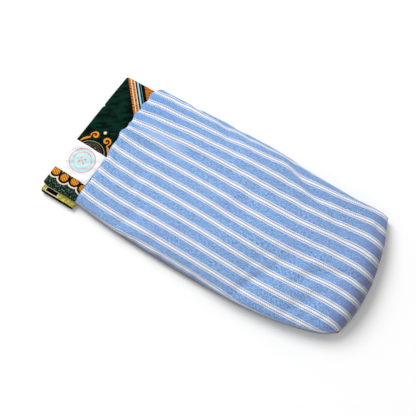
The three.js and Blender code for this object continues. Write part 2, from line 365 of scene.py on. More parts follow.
def plain_weave(x, y, pitch):
    """Height of a plain weave, from 0 to 1: each thread goes over one and under the next."""
    warp = (x * (math.pi / pitch)).sin()
    weft = (y * (math.pi / pitch)).sin()
    return warp * weft * 0.5 + 0.5


# The striped shirting.
STRIPE_PITCH = 8.7
STRIPE_START = 3.95  # the middle of the first stripe on the far side
FOLD_HIGHLIGHT = (-48.0, 17.0)  # the middle of a painted highlight, where light falls on a raised fold
FOLD_HIGHLIGHT_LONG, FOLD_HIGHLIGHT_WIDE = 24.0, 7.0
SEAM_SHADOWS_AND_LINE = (  # painted shadow along the seams, then a golden seam line: distance from the seam, softness, share, colour
    (2.6, 2.4, 0.62, "45423a"), (1.3, 0.5, 0.5, "2f3430"), (0.45, 0.15, 0.8, "8a6a38"))


def striped_cotton():
    paint = Paint("striped_cotton", 0.86)
    x, y, from_seam = paint.cloth()
    wander = (paint.noise(x * 0.06, y * 0.3, 4.0) - 0.5) * 0.5
    across = (y + wander - STRIPE_START).wrap(-STRIPE_PITCH / 2, STRIPE_PITCH / 2)

    long_slub = paint.noise(x * 0.7, y * 2.6, 1.0, 3.0)
    cross_slub = paint.noise(x * 2.6, y * 0.7, 7.0, 3.0)
    twill = paint.noise((x + y) * 0.9, (x - y) * 2.9, 3.0, 3.0, 0.75)
    cloud = paint.noise(x * 0.05, y * 0.05, 9.0)
    pale = (long_slub + cross_slub + twill * 2.0) * (1 / 4.0)
    blue = paint.mix(pale.ramp(0.445, 0.555), "3670b3", "aacbf0")
    blue = paint.mix(cloud.ramp(0.35, 0.7) * 0.28, blue, "7d93cb")
    # Painted shade: darker and mauve towards the bottom end, where the cloth turns away from the light.
    blue = paint.mix(x.ramp(77.0, 103.0) * 0.75, blue, "6c70a8")
    # Painted light: lighter towards the mouth on the far side, where the light falls.
    blue = paint.mix(x.below(-40.0, 40.0) * y.ramp(0.0, 20.0) * 0.35, blue, "559adc")
    # Painted shade: darker and greyer over the far side towards the bottom.
    blue = paint.mix(x.ramp(0.0, 50.0) * y.ramp(5.0, 35.0) * 0.3, blue, "6a83b2")
    # Painted highlight: paler blue where light falls on a raised fold near the mouth.
    dx, dy = x - FOLD_HIGHLIGHT[0], y - FOLD_HIGHLIGHT[1]
    highlight_x, highlight_y = dx * 0.97 - dy * 0.25, dx * 0.25 + dy * 0.97
    fold_highlight = (highlight_x * highlight_x * (1 / FOLD_HIGHLIGHT_LONG ** 2)
            + highlight_y * highlight_y * (1 / FOLD_HIGHLIGHT_WIDE ** 2)).below(0.7, 0.7)
    blue = paint.mix(fold_highlight * 0.35, blue, "b9d6f6")

    side = across.abs()
    tick = ((x * 0.85 + y * 0.52) * (TAU / 0.92)).sin()
    white = paint.mix(tick.ramp(0.0, 0.8) * 0.7, "fffffb", "908c86")
    gap = paint.mix(cross_slub.ramp(0.3, 0.7), "7a82b0", "9daace")
    line = paint.mix(cross_slub.ramp(0.3, 0.7), "c4d2e8", "eaf0f9")
    base = paint.mix(side.below(1.70, 0.1), blue, line)
    base = paint.mix(side.below(1.18, 0.1), base, gap)
    base = paint.mix(side.below(0.62, 0.1), base, white)
    # Painted shade: darker towards the bottom seam.
    base = paint.mix(x.ramp(90.0, 103.0) * 0.6, base, "4c4438")
    # Painted shadow in the seams, where the cloth is drawn in, and a thin golden line on the seam itself.
    for edge, soft, share, shade in SEAM_SHADOWS_AND_LINE:
        base = paint.mix(from_seam.below(edge, soft) * share, base, shade)

    weave = plain_weave(x, y, 0.36)
    height = weave * 0.5 + long_slub * 0.5 + cross_slub * 0.4 + side.below(0.5) * 0.3
    cloth_finish(paint, 0.25)
    return paint.finish(paint.shade(base, weave * 0.10 + 0.95), height, 0.12, 0.6)


def lining_cotton():
    paint = Paint("lining_cotton", 0.88)
    x, y, _ = paint.cloth()
    slub = paint.noise(x * 0.4, y * 3.0, 2.0, 3.0) + paint.noise(x * 3.0, y * 0.4, 5.0, 3.0)
    weave = plain_weave(x, y, 0.5)
    base = paint.mix((slub * 0.5).ramp(0.35, 0.65), "ddd2b6", "f2ead6")
    cloth_finish(paint, 0.2)
    return paint.finish(paint.shade(base, weave * 0.12 + 0.9), weave + slub * 0.5, 0.15, 0.7)


def wadding_fibre():
    paint = Paint("wadding", 0.95)
    x, y, z = paint.place()
    tangle = paint.noise(x * 1.2, y * 1.2, z, 5.0, 0.7)
    base = paint.mix(tangle.ramp(0.3, 0.7), "dcd9d0", "f7f5f0")
    cloth_finish(paint, 0.4)
    return paint.finish(base, tangle, 0.5, 0.8)


def thread(name, dark, light):
    paint = Paint(name, 0.7)
    x, y, z = paint.place()
    twist = ((x + y + z) * (TAU / 0.5)).sin() * 0.5 + 0.5
    cloth_finish(paint, 0.3)
    return paint.finish(paint.mix(twist, dark, light), twist, 0.08, 0.8)


def spring_steel():
    paint = Paint("spring_steel", 0.3, 1.0)
    x, y, z = paint.place()
    grain = paint.noise(x * 6.0, y * 0.15, z * 6.0, 4.0)
    base = paint.mix(grain.ramp(0.3, 0.7), "9fa3a8", "c9ccd0")
    return paint.finish(base, grain, 0.01, 0.4, grain * 0.2 + 0.22)


def end_wrap_tape():
    paint = Paint("end_wrap_tape", 0.5)
    x, y, z = paint.place()
    crinkle = paint.noise(x * 0.5, y * 1.5, z, 4.0, 0.6)
    base = paint.mix(crinkle.ramp(0.35, 0.7), "1b1b1d", "37373a")
    return paint.finish(base, crinkle, 0.1, 0.6, crinkle * 0.3 + 0.35)


# ---- the pouch

ROWS, COLUMNS = 116, 62  # cells along and across each panel
CLOTH_THICK = 0.45
TUCK = 4.5  # the cloth rolls into the casing seam over this length
BACK_TUCK = 3.0
FRONT_END = 0.925  # past here the front comes down to the bottom seam
NEAR_CROWN, FAR_CROWN = 3.2, 4.6  # higher is flatter on top and steeper at the side
GATHER_PITCH = 8.6  # the cloth is gathered into the casing seam this often
SEAM_FADE = 22.0  # the casing seam's waves die out over this length
KINK = (33.0, 37.0)  # a dent near the far side
CREASES = [  # middle, direction in degrees, depth, width, length
    (38.0, -35.0, 62.0, 0.55, 2.6, 9.0),
    (78.0, -6.0, 24.0, 0.40, 3.0, 14.0),
    (70.0, 14.0, -38.0, 0.35, 3.0, 12.0),
    (20.0, 30.0, 28.0, 0.40, 3.2, 16.0),
    (-35.0, 12.0, 14.0, 0.45, 3.4, 18.0),
    (5.0, -20.0, -20.0, 0.35, 3.2, 16.0),
]


def rows_and_columns():
    """Grid lines from the mouth to the bottom and from side to side, closer at the seams."""
    u = np.linspace(0, 1, ROWS + 1)
    u = u + 0.035 * np.sin(TAU * u) / (TAU) * -4 * u * (1 - u)
    v = np.linspace(0, 1, COLUMNS + 1)
    v = 0.72 * v + 0.28 * (1 - np.cos(math.pi * v)) / 2
    return u[:, None], v[None, :]


def seam_line(y):
    """How far towards the bottom the casing seam runs, past MOUTH_X."""
    y = y - MIDDLE_Y
    near_half = 1.7 * (1 - smooth(y, -13, -4))
    scallops = 0.45 * np.cos(TAU * (y - 35.2) / GATHER_PITCH) * smooth(y, 6, 14)
    step = -1.5 * bump(y, 8.2, 2.6) + 1.4 * bump(y, 12.6, 2.4)
    return near_half + scallops + step


def pull_to_seam(x, y):
    """x moved with the casing seam's waves."""
    return x + seam_line(y) * (1 - smooth(x - MOUTH_X, 0, SEAM_FADE))


def press_creases(z, x, y, crown):
    """Each crease is a groove with a low ridge beside it."""
    for crease_x, crease_y, angle, depth, wide, long in CREASES:
        c, s = math.cos(math.radians(angle)), math.sin(math.radians(angle))
        along = (x - crease_x) * c + (y - crease_y) * s
        aside = (y - crease_y) * c - (x - crease_x) * s
        groove = bump(aside, 0, wide) - 0.5 * bump(aside, wide * 1.7, wide)
        z = z - depth * bump(along, 0, long) * groove * crown
    return z


def front_shape(u, v):
    """The front panel's outer face before the cloth is let go."""
    plan = patch(u, v)
    x, y = plan[..., 0], plan[..., 1]
    run = x - MOUTH_X
    rise = 6.4 + 5.8 * smooth(u, 0, 0.72)
    end = round_off((u - FRONT_END) / (1 - FRONT_END), 2.2)
    crown = round_off(np.abs(2 * v - 1), np.where(v < 0.5, NEAR_CROWN, FAR_CROWN))
    flat_corner = 1 - 0.2 * smooth(u, 0.74, 0.98) * smooth(v, 0.55, 0.97)
    z = SEAM_Z + rise * crown * end * flat_corner
    gather = smooth(y, 2, 12) * (1 - smooth(run, 8, 85))
    z = z + 0.75 * gather * crown * np.cos(TAU * (y - 31.0 + 0.03 * run) / GATHER_PITCH)
    pleat = bump(y - 11.8 + 0.035 * run, 0, 3.4) * (1 - smooth(run, 5, 60))
    z = z + 1.2 * pleat
    dx, dy = x - KINK[0], y - KINK[1]
    kink = bump(dx * 0.5 + dy * 0.87, 0, 3.0) * bump(dx * 0.87 - dy * 0.5, 0, 14)
    z = press_creases(z - 0.9 * kink, x, y, crown)
    roll = np.sqrt(1 - (1 - np.clip(run / TUCK, 0, 1)) ** 2)
    z = np.minimum(z, 5.2) + (z - np.minimum(z, 5.2)) * roll
    return xyz(pull_to_seam(x, y), y, z)


def back_shape(u, v):
    plan = patch(u, v)
    x, y = plan[..., 0], plan[..., 1]
    end = round_off((u - 0.94) / 0.06, 2)
    side = round_off((np.abs(2 * v - 1) - 0.88) / 0.12, 2)
    z = SEAM_Z * (1 - end * side)
    run = np.clip((x - MOUTH_X) / BACK_TUCK, 0, 1)
    z = np.maximum(z, 1.5 * (1 - np.sqrt(1 - (1 - run) ** 2)))
    return xyz(pull_to_seam(x, y), y, z)


CLOTH_PHYSICS = {
    "quality": 6, "mass": 0.15, "tension_stiffness": 30, "compression_stiffness": 30,
    "shear_stiffness": 8, "bending_stiffness": 2.5, "air_damping": 4, "use_pressure": True,
    "uniform_pressure_force": 2.5,  # what the wadding pushes with
    "vertex_group_mass": "held", "pin_stiffness": 1.5,
    "shrink_min": -0.008,  # the cloth is this share longer than the shape
}
SETTLE_FRAMES = 20
MOST_SETTLED = 3.0  # no point moves further than this, in mm
BACK_HOLD = 0.25  # the floor holds the back this firmly; 1 is pinned


def settle(front, back):
    """Lets the padded cloth swell and wrinkle against its seams, and returns both panels."""
    rows, columns = front.shape[:2]
    count = rows * columns
    vertices = np.concatenate([front.reshape(-1, 3), back.reshape(-1, 3)])
    upper = np.arange(count).reshape(rows, columns)
    lower = upper + count
    lower[-1], lower[:, 0], lower[:, -1] = upper[-1], upper[:, 0], upper[:, -1]
    same = np.concatenate([upper.ravel(), lower.ravel()])
    faces = grid_faces(rows, columns) + grid_faces(rows, columns, count, True)
    faces += [(j, j + 1, count + j + 1, count + j) for j in range(columns - 1)]
    kept = sorted(set(same.tolist()))
    order = {old: new for new, old in enumerate(kept)}
    merged = [tuple(dict.fromkeys(order[int(same[k])] for k in face)) for face in faces]
    merged = [face for face in merged if len(face) > 2]
    start = vertices[kept]
    obj = new_object("settling", start, merged)
    held = obj.vertex_groups.new(name="held")
    for old, new in order.items():
        i, j = divmod(old % count, columns)
        if i in (0, rows - 1) or j in (0, columns - 1):
            held.add([new], 1.0, "REPLACE")
        elif old >= count:
            held.add([new], BACK_HOLD, "REPLACE")
    cloth = obj.modifiers.new("cloth", "CLOTH")
    for name, setting in CLOTH_PHYSICS.items():
        setattr(cloth.settings, name, setting)
    cloth.settings.effector_weights.gravity = 0
    cloth.collision_settings.use_collision = False
    cloth.collision_settings.use_self_collision = False
    scene = bpy.context.scene
    for number in range(1, SETTLE_FRAMES + 1):
        scene.frame_set(number)
    graph = bpy.context.evaluated_depsgraph_get()
    result = obj.evaluated_get(graph).data
    moved = np.zeros(len(result.vertices) * 3)
    result.vertices.foreach_get("co", moved)
    moved = moved.reshape(-1, 3) / MM
    scene.frame_set(1)
    bpy.data.objects.remove(obj)
    step = moved - start
    far = np.linalg.norm(step, axis=1, keepdims=True)
    print("settled: mean %.2f mm, most %.2f mm" % (far.mean(), far.max()))
    step = step * np.minimum(1, MOST_SETTLED / np.maximum(far, 1e-6))
    every = (start + step)[[order[int(k)] for k in same]]
    front = every[:count].reshape(rows, columns, 3)
    back = every[count:].reshape(rows, columns, 3)
    back[..., 2] = np.maximum(back[..., 2], 0)
    return front, back


def cloth_places(points):
    """Where each point of a panel lies on its flat cloth: x along the stripes, y across them, and
    as z how far it is from the nearest seam."""
    gaps = np.linalg.norm(np.diff(points, axis=1), axis=-1)
    across = np.concatenate([np.zeros((len(points), 1)), np.cumsum(gaps, axis=1)], axis=1)
    to_side = np.minimum(across, across[:, -1:] - across)
    middle = np.array([np.interp(MIDDLE_Y, row[:, 1], run) for row, run in zip(points, across)])
    across = across - middle[:, None]
    steps = np.linalg.norm(np.diff(points, axis=0), axis=-1)
    along = np.concatenate([np.zeros((1, points.shape[1])), np.cumsum(steps, axis=0)])
    from_seam = np.minimum(to_side, along[-1:] - along)
    return xyz(points[:1, :, 0] + along, across, from_seam)


def stripe_drift(x, y):
    """How far the front's stripes wander off straight lines, in mm towards the far side."""
    run = x - MOUTH_X
    far = smooth(y, 4, 16)
    rolled_in = 2.0 * np.exp(-run / 8) * (1 - far)
    swallowed = -2.2 * np.exp(-run / 28) * bump(y, 25, 14) * far
    off_grain = -1.9 * run / 100
    bow = -2.1 * bump(x, 27, 32) * bump(y, -3, 22) + 2.3 * smooth(x, 40, 86) * (1 + far / 2)
    sides = 0.6 * (y / 45) ** 2 - 0.4 * y / 45
    corner = 4.2 * smooth(x, 58, 88) * np.clip((y - 12) / 32, 0, 1)
    waves = (1.9 * bump(x, 22, 10) * bump(y, 40, 8) + 0.5 * bump(x, 38, 14) * bump(y, 22, 14)
             - 1.6 * bump(x, -30, 28) * bump(y, 40, 6)
             - 3.4 * smooth(y, 41, 46) * smooth(x, -50, -20) * (1 - smooth(x, 50, 75))
             + 1.4 * smooth(-y, 41, 45) * smooth(x, -50, -20) * (1 - smooth(x, 25, 50)))
    return rolled_in + swallowed + off_grain + bow + sides + waves + corner


def inward(points, depth, facing_down=False):
    """The points moved into the pouch along the surface normal."""
    normal = unit(np.cross(np.gradient(points, axis=0), np.gradient(points, axis=1)))
    return points + normal * depth if facing_down else points - normal * depth


def make_pouch():
    u, v = rows_and_columns()
    front, back = front_shape(u, v), back_shape(u, v)
    front, back = settle(front, back)
    stripes = MATERIALS["stripes"]
    cloth = cloth_places(front)
    cloth[..., 1] -= stripe_drift(front[..., 0], front[..., 1])
    panel = thick_sheet("front_panel", front, inward(front, CLOTH_THICK), cloth, stripes)
    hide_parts("outer_front_panel")
    under = thick_sheet("back_panel", back, inward(back, CLOTH_THICK, True), cloth_places(back),
                        stripes, facing_down=True)
    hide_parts("outer_back_panel")
    for obj, side in ((panel, "front"), (under, "back")):
        follow_mouth(obj, side)
    return front, back


def between_lines(u, v, grid_u, grid_v, values):
    """values, known on the grid's lines, at the points u, v."""
    def position(lines, t):
        k = np.interp(t, lines, np.arange(len(lines)))
        low = np.minimum(k.astype(int), len(lines) - 2)
        return low, k - low
    i, fi = position(grid_u.ravel(), u)
    j, fj = position(grid_v.ravel(), v)
    top = values[i, j] * (1 - fj) + values[i, j + 1] * fj
    bottom = values[i + 1, j] * (1 - fj) + values[i + 1, j + 1] * fj
    return top * (1 - fi) + bottom * fi


INNER_GRID = (48, 32)
INNER_LAYERS = (  # layer, depth under the panel's face, thickness, inset
    ("wadding", 0.85, 1.2, 6.8), ("lining", 2.35, 0.4, 8.0))


def inner_layer(outer, side, depth, inset):
    """A grid of points depth under the outer face, whose edges come down to the seam's height."""
    grid_u, grid_v = rows_and_columns()
    u, v = grid(*(np.linspace(0, 1, count) for count in INNER_GRID))
    v = (1 - np.cos(math.pi * v)) / 2
    across = inset / WIDTH
    uu = u * (1 - inset / LENGTH)
    vv = across + v * (1 - 2 * across)
    plan = patch(uu, vv)
    run = plan[..., 0] - MOUTH_X
    outside = between_lines(uu, vv, grid_u, grid_v, outer[..., 2])
    rim = SEAM_Z + (0.15 if side == "front" else -0.15)
    if side == "front":
        top = outside + (1 - smooth(run, 0, TUCK)) * 2.0 - depth
        shape = round_off(np.abs(2 * v - 1), 3.2) * round_off((u - 0.85) / 0.15, 2)
        z = rim + np.maximum(top - rim, 0.05) * shape
    else:
        shape = round_off((np.abs(2 * v - 1) - 0.85) / 0.15, 2) * round_off((u - 0.93) / 0.07, 2)
        z = rim - (rim - depth) * shape
    x = pull_to_seam(plan[..., 0], plan[..., 1]) + 0.8
    return xyz(x, plan[..., 1], z)


def make_inner_layers(front, back):
    for side, outer in (("front", front), ("back", back)):
        down = side == "back"
        for layer, depth, thick, inset in INNER_LAYERS:
            top = inner_layer(outer, side, depth, inset)
            bottom = inner_layer(outer, side, depth + thick, inset + 0.8)
            name = f"{side}_{layer}"
            obj = thick_sheet(name + "_cloth", top, bottom, cloth_places(top), MATERIALS[layer],
                              down)
            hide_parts(name)
            follow_mouth(obj, side)


# ---- seams

def seam_path(side, inset, count=70):
    """Points along one seam, inset mm inside the edge, at the seam's height."""
    t = np.linspace(0, 1, count)
    if side == "bottom":
        plan = patch(np.full(count, 1 - inset / LENGTH), 0.03 + 0.94 * t)
    else:
        across = inset / WIDTH
        plan = patch(0.01 + 0.93 * t, np.full(count, across if side == "left" else 1 - across))
    return np.concatenate([plan, np.full((count, 1), SEAM_Z)], axis=1)


ALLOWANCE_INSETS = (1.9, 6.2)  # its edges, from the pouch's edge


def make_allowances():
    for side in SEAMS:
        ends = slice(5, -5) if side == "bottom" else slice(None)
        outer, inner = (seam_path(side, inset)[ends] for inset in ALLOWANCE_INSETS)
        across = np.linspace(0, 1, 6)[:, None, None]
        sheet = outer[None] * (1 - across) + inner[None] * across
        sheet[..., 2] += 0.12 * np.sin(sheet[..., 0] * 0.35) * across[..., 0]
        top, under = sheet + [0, 0, 0.5], sheet - [0, 0, 0.5]
        cloth = sheet * [1, 1, 0]
        obj = thick_sheet(f"{side}_seam_allowance_cloth", top, under, cloth, MATERIALS["stripes"],
                          facing_down=side != "right")
        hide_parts(f"{side}_seam_allowance")
        follow_mouth(obj, "seam")


def tube(name, paths, radius, material, sides=6):
    """Round threads along the paths, each closed at its ends, as one mesh."""
    vertices, faces = [], []
    for path in paths:
        path = np.asarray(path, float)
        ahead = unit(np.gradient(path, axis=0))
        across = unit(np.cross(ahead, [0.0, 0.0, 1.0]))
        lift = np.cross(across, ahead)
        turn = np.linspace(0, TAU, sides, endpoint=False)[None, :, None]
        spoke = np.cos(turn) * across[:, None] + np.sin(turn) * lift[:, None]
        ring = path[:, None] + radius * spoke
        start = len(vertices)
        vertices.extend(ring.reshape(-1, 3).tolist())
        faces.extend(grid_faces(len(path), sides, start, flip=True, loop=True))
        faces.append(tuple(range(start, start + sides)))
        last = start + (len(path) - 1) * sides
        faces.append(tuple(range(last + sides - 1, last - 1, -1)))
    return new_object(name, vertices, faces, None, material)


def stitches(path, length=2.4, gap=0.5, rise=0.25):
    """Splits a path into stitches: each one comes up out of the cloth and goes down again."""
    path = np.asarray(path, float)
    run = distance_along(path)
    found = []
    for start in np.arange(0, run[-1] - length, length + gap):
        t = np.linspace(start, start + length, 7)
        stitch = np.stack([np.interp(t, run, path[:, k]) for k in range(3)], axis=1)
        stitch[:, 2] += rise * np.sin(np.linspace(0, math.pi, 7))
        found.append(stitch)
    return found


def make_seam_threads():
    for side in SEAMS:
        path = seam_path(side, 1.45, 200)
        obj = tube(f"{side}_seam_stitches", stitches(path, 2.2, 0.3, 0.1), 0.17,
                   MATERIALS["seam_thread"])
        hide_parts(f"{side}_seam_thread")
        follow_mouth(obj, "seam")


# ---- the casings round the mouth

CASING_ROWS, RING = 132, 44
CASING_WALL = 0.3
CASING_POWER = 5.0  # how square the casing's section is
RIDGE_LIFT = 0.35  # the creases stand up from the casing's top
NOTCH_Y = 18.0  # a small dent in the mouth's edge


def casing_edges(y):
    """The casing's open edge and its seam edge, as x."""
    outer = MOUTH_EDGE_X + 0.9 * bump(y, NOTCH_Y, 0.8) + 0.35 * smooth(y, 20, 44)
    inner = MOUTH_X + seam_line(y) + 1.2
    return outer, inner


def casing_point(turn, y, low, high, wall):
    """The sleeve's section at y: turn 0 is at the seam, a quarter on top and a half at the edge."""
    y_low, y_high, z_low, z_high = low[1], high[1], low[2], high[2]
    outer, inner = casing_edges(y)
    from_end = np.minimum(y - y_low, y_high - y)
    flat = 0.62 + 0.38 * smooth(from_end, 0, 2.2)
    corner = 0.8 * (1 - np.sqrt(1 - (1 - np.clip(from_end / 0.8, 0, 1)) ** 2))
    outer = outer + corner
    centre, half = (outer + inner) / 2, (inner - outer) / 2 - wall
    c, s = np.cos(turn), np.sin(turn)
    x = centre + half * np.sign(c) * np.abs(c) ** (2 / CASING_POWER)
    thick = ((z_high - z_low) / 2 - 0.25) * flat - wall
    z = (z_low + z_high) / 2 + thick * np.sign(s) * np.abs(s) ** (2 / CASING_POWER)
    across = np.clip((x - centre) / half, -1, 1)
    lean = 0.85 * y - 0.52 * x
    ridge = (0.10 * np.sin(TAU * (y + 0.10 * x) / 2.9 + 1.0)
             + 0.22 * np.sin(TAU * (lean + 0.3 * np.sin(0.23 * y)) / 4.3)
             + 0.26 * np.sin(TAU * lean / 7.3 + 2.0))
    if wall == 0:
        z = z + (ridge + RIDGE_LIFT) * (1 - across ** 4) * smooth(from_end, 0, 4) * (s > 1e-6)
    return xyz(x, y + 0 * x, z)


def sleeve(name, low, high, material):
    """A flattened cloth tube, open as a slit at each end."""
    y, turn = grid(np.linspace(low[1], high[1], CASING_ROWS),
                   np.linspace(0, TAU, RING, endpoint=False))
    walls = [casing_point(turn, y, low, high, wall) for wall in (0.0, CASING_WALL)]
    count = CASING_ROWS * RING
    faces = grid_faces(CASING_ROWS, RING, 0, True, True)
    faces += grid_faces(CASING_ROWS, RING, count, False, True)
    for first, flip in ((0, False), (count - RING, True)):
        for j in range(RING):
            k = (j + 1) % RING
            quad = (first + j, first + k, count + first + k, count + first + j)
            faces.append(quad[::-1] if flip else quad)
    outer_edge = casing_edges(y)[0]
    unrolled = np.where(np.sin(turn) >= -1e-6, walls[0][..., 0], 2 * outer_edge - walls[0][..., 0])
    return two_walls(name, walls, faces, xyz(unrolled, y, 0 * y), material)


FRONT_SLEEVE = (CASING_LOW, np.array([CASING_HIGH[0], FRONT_RIGHT_HIGH[1], CASING_HIGH[2]]))
BACK_SLEEVE = (BACK_LOW, np.array([CASING_HIGH[0], BACK_RIGHT_HIGH[1], CASING_THICK]))


def make_casings():
    for side, (low, high) in (("front", FRONT_SLEEVE), ("back", BACK_SLEEVE)):
        obj = sleeve(f"{side}_casing", low, high, MATERIALS[f"{side}_print"])
        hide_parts(*(f"{side}_casing_{part}" for part in CASING_PARTS))
        follow_mouth(obj, side)

        y = np.linspace(low[1] + 1, high[1] - 1, 300)
        seam_x = MOUTH_X + seam_line(y) + 0.75
        height = (low[2] + high[2]) / 2 + (0.4 if side == "front" else -0.4)
        path = xyz(seam_x, y, np.full(len(y), height))
        seam = tube(f"{side}_casing_stitches", stitches(path, 2.0, 0.4, 0.12), 0.16,
                    MATERIALS["seam_thread"])
        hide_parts(*(f"{side}_casing_{part}_seam_thread" for part in CASING_PARTS))
        follow_mouth(seam, side)


# ---- the ribbon label

LABEL_TILT = 0.027  # its long sides lean by this much y for each mm of x
LABEL_NEAR, LABEL_FAR = LABEL_LOW[1] + 0.5, LABEL_HIGH[1] + 0.1
LABEL_START, LABEL_TURNS = 0.11, 1.10  # where it runs, in half turns round the casing
LABEL_THICK = 0.28
LABEL_LIFT = 0.2  # its gap to the casing
LABEL_FOLD = 0.4  # it passes this far outside the mouth's edge
LABEL_HEM = 0.9  # from its side to its stitches


def label_point(share, y, lift):
    """share runs from the seam, over the top and round the mouth's edge."""
    turn = math.pi * (LABEL_START + (LABEL_TURNS - LABEL_START) * share)
    low, high = FRONT_SLEEVE
    step = 1e-3
    here = casing_point(turn, y, low, high, 0.0)
    ahead = casing_point(turn + step, y, low, high, 0.0) - here
    normal = unit(xyz(ahead[..., 2], 0 * y, -ahead[..., 0]))
    place = here + normal * np.asarray(lift)[..., None]
    place[..., 1] -= LABEL_TILT * (here[..., 0] - MOUTH_EDGE_X)
    return place


def make_label():
    share, y = grid(np.linspace(0, 1, 90), np.linspace(LABEL_NEAR, LABEL_FAR, 46))
    ripple = 0.05 * np.sin(TAU * y / 6.3 + share * 5)
    top = label_point(share, y, LABEL_LIFT + LABEL_THICK + ripple)
    under = label_point(share, y, LABEL_LIFT + ripple)
    edge = MOUTH_EDGE_X - LABEL_FOLD
    past = share > (1 - LABEL_START) / (LABEL_TURNS - LABEL_START)
    unrolled = np.where(past, 2 * edge - top[..., 0], top[..., 0])
    cloth = xyz(unrolled, y, 0 * y)
    obj = thick_sheet("label_ribbon", top[::-1], under[::-1], cloth[::-1], MATERIALS["label"])
    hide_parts("ribbon_label")
    follow_mouth(obj, "front")

    paths = []
    across = np.linspace(0.05, 0.93, 120)
    for line in (LABEL_NEAR + LABEL_HEM, LABEL_FAR - LABEL_HEM):
        path = label_point(across, np.full(len(across), line), 0.18 + LABEL_THICK)
        paths += stitches(path, 1.9, 0.5, 0.05)
    obj = tube("label_stitches", paths, 0.09, MATERIALS["label_thread"])
    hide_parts("ribbon_label_thread")
    follow_mouth(obj, "front")


# ---- the print and the label's badge

def distance(x, y, centre):
    dx, dy = x - centre[0], y - centre[1]
    return (dx * dx + dy * dy).sqrt()


def stroke(x, y, start, end, width, end_width):
    """Under 0 inside a round-ended stroke whose width changes from start to end."""
    ax, ay = end[0] - start[0], end[1] - start[1]
    dx, dy = x - start[0], y - start[1]
    t = ((dx * ax + dy * ay) / (ax * ax + ay * ay)).most(0.0).least(1.0)
    px, py = dx - t * ax, dy - t * ay
    return (px * px + py * py).sqrt() - (t * (end_width - width) + width) * 0.5


def bent_stroke(x, y, points, thin, fat):
    """A stroke through the points, thin at its ends and fat in its middle."""
    inside = None
    widths = thin + (fat - thin) * np.sin(np.linspace(0, math.pi, len(points)))
    for k in range(len(points) - 1):
        piece = stroke(x, y, points[k], points[k + 1], float(widths[k]), float(widths[k + 1]))
        inside = piece if inside is None else inside.least(piece)
    return inside


BLACK, CREAM, ORANGE, RUST, BURNT = "050706", "efdcc2", "f8a838", "ac5412", "6e2c10"
BAND_CORNER = (-76.3, 21.6)  # where the first band meets the striped cloth
BAND_SLOPE = 1.12
BANDS = (("burnt", 2.0), (CREAM, 1.0), ("burnt", 2.0), (CREAM, 1.0), (BLACK, 1.5), ("a9d6dd", 1.5),
         (BLACK, 1.5), ("6fa4ae", 0.5), (BLACK, 3.0), ("burnt", 60.0))  # ink, width


def diagonal_bands(paint, x, y, base, orange):
    """Stripes at an angle, side by side."""
    s = y + (x - BAND_CORNER[0]) * BAND_SLOPE - BAND_CORNER[1]
    hatch = ((y * 1.6 - x * 0.5) * (TAU / 3.1)).sin().ramp(-0.1, 0.7)
    blotch = paint.noise(x * 0.6, y * 0.6, 2.0, 2.0).ramp(0.35, 0.65)
    burnt = paint.mix(hatch * (blotch * 0.6 + 0.3), paint.mix(0.55, orange, RUST), BURNT)
    start = 0.0
    for ink, width in BANDS:
        inside = s.between(start, start + width, 0.15)
        base = paint.mix(inside, base, burnt if ink == "burnt" else ink)
        start += width
    return base


DOME, DOME_RADIUS = (-84.0, -14.0), 9.0
DOME_RINGS = ((0.9, BLACK), (0.1, "8d9482"), (-0.35, BLACK))  # edge from the radius, ink
DOT, DOT_RADIUS = (DOME[0], DOME[1] + 16.0), 1.05
CURL_OUT, CURL_UP = 4.2, 11.6  # a curl's centre, sideways and up from the dome's
CURL_OUTER, CURL_INNER = 2.7, 0.7  # the radius that it starts and ends with
CURL_START, CURL_SWEEP = 130.0, 400.0  # where it starts, and how many degrees it winds
CURL_WIDTHS = (0.6, 1.3)  # of the ends and of the middle
STEM_RADIUS = 10.9  # the stems run round the dome
STEM_START, STEM_END = 34.0, 66.0  # in degrees either side of upright
STEM_WIDTHS = (0.8, 1.4)
UPRIGHT = 90.0


def scrolls(paint, x, y, base, orange):
    """Two curls on stems over a black dome, with a dot between them."""
    ink = None
    for points, (thin, fat) in scroll_pair():
        piece = bent_stroke(x, y, points, thin, fat)
        ink = piece if ink is None else ink.least(piece)
    dome = distance(x, (y - DOME[1]) * 1.12 + DOME[1], DOME) - DOME_RADIUS
    strands = paint.noise(x * 0.5 + y * 0.4, y * 2.2 - x * 1.6, 8.0, 2.0).ramp(0.48, 0.64)
    inside = paint.mix(strands * 0.75, BLACK, "8a8364")
    for edge, shade in DOME_RINGS:
        base = paint.mix(dome.below(edge), base, shade)
    base = paint.mix(dome.below(-1.3, 0.3), base, inside)
    base = paint.mix(ink.below(0.5, 0.12), base, BLACK)
    base = paint.mix(ink.below(0.0, 0.12), base, orange)
    return paint.mix(distance(x, y, DOT).below(DOT_RADIUS), base, CREAM)


def arc_points(centre, first_radius, last_radius, first_angle, last_angle, count):
    """Points on a spiral about centre. Angles are in degrees from the direction of the seam."""
    radius = np.linspace(first_radius, last_radius, count)
    angle = np.radians(np.linspace(first_angle, last_angle, count))
    return [(float(centre[0] + r * math.cos(a)), float(centre[1] + r * math.sin(a)))
            for r, a in zip(radius, angle)]


def scroll_pair():
    """Two curls, each the other's mirror image, and a stem for each, as points and widths."""
    pair = []
    for hand in (1, -1):
        centre = (DOME[0] + hand * CURL_OUT, DOME[1] + CURL_UP)
        outside = UPRIGHT - hand * CURL_START
        inside = outside + hand * CURL_SWEEP
        pair.append((arc_points(centre, CURL_OUTER, CURL_INNER, outside, inside, 13), CURL_WIDTHS))
        pair.append((arc_points(DOME, STEM_RADIUS, STEM_RADIUS, UPRIGHT - hand * STEM_START,
                                UPRIGHT - hand * STEM_END, 4), STEM_WIDTHS))
    return pair


DISC_COUNT, DISC_PITCH, DISC_RADIUS = 7, 6.8, 2.5
FIRST_DISC = (-73.4, -35.4)
DISC_STEP = 1.2  # every other disc is this much higher
DISCS_START = -27.0


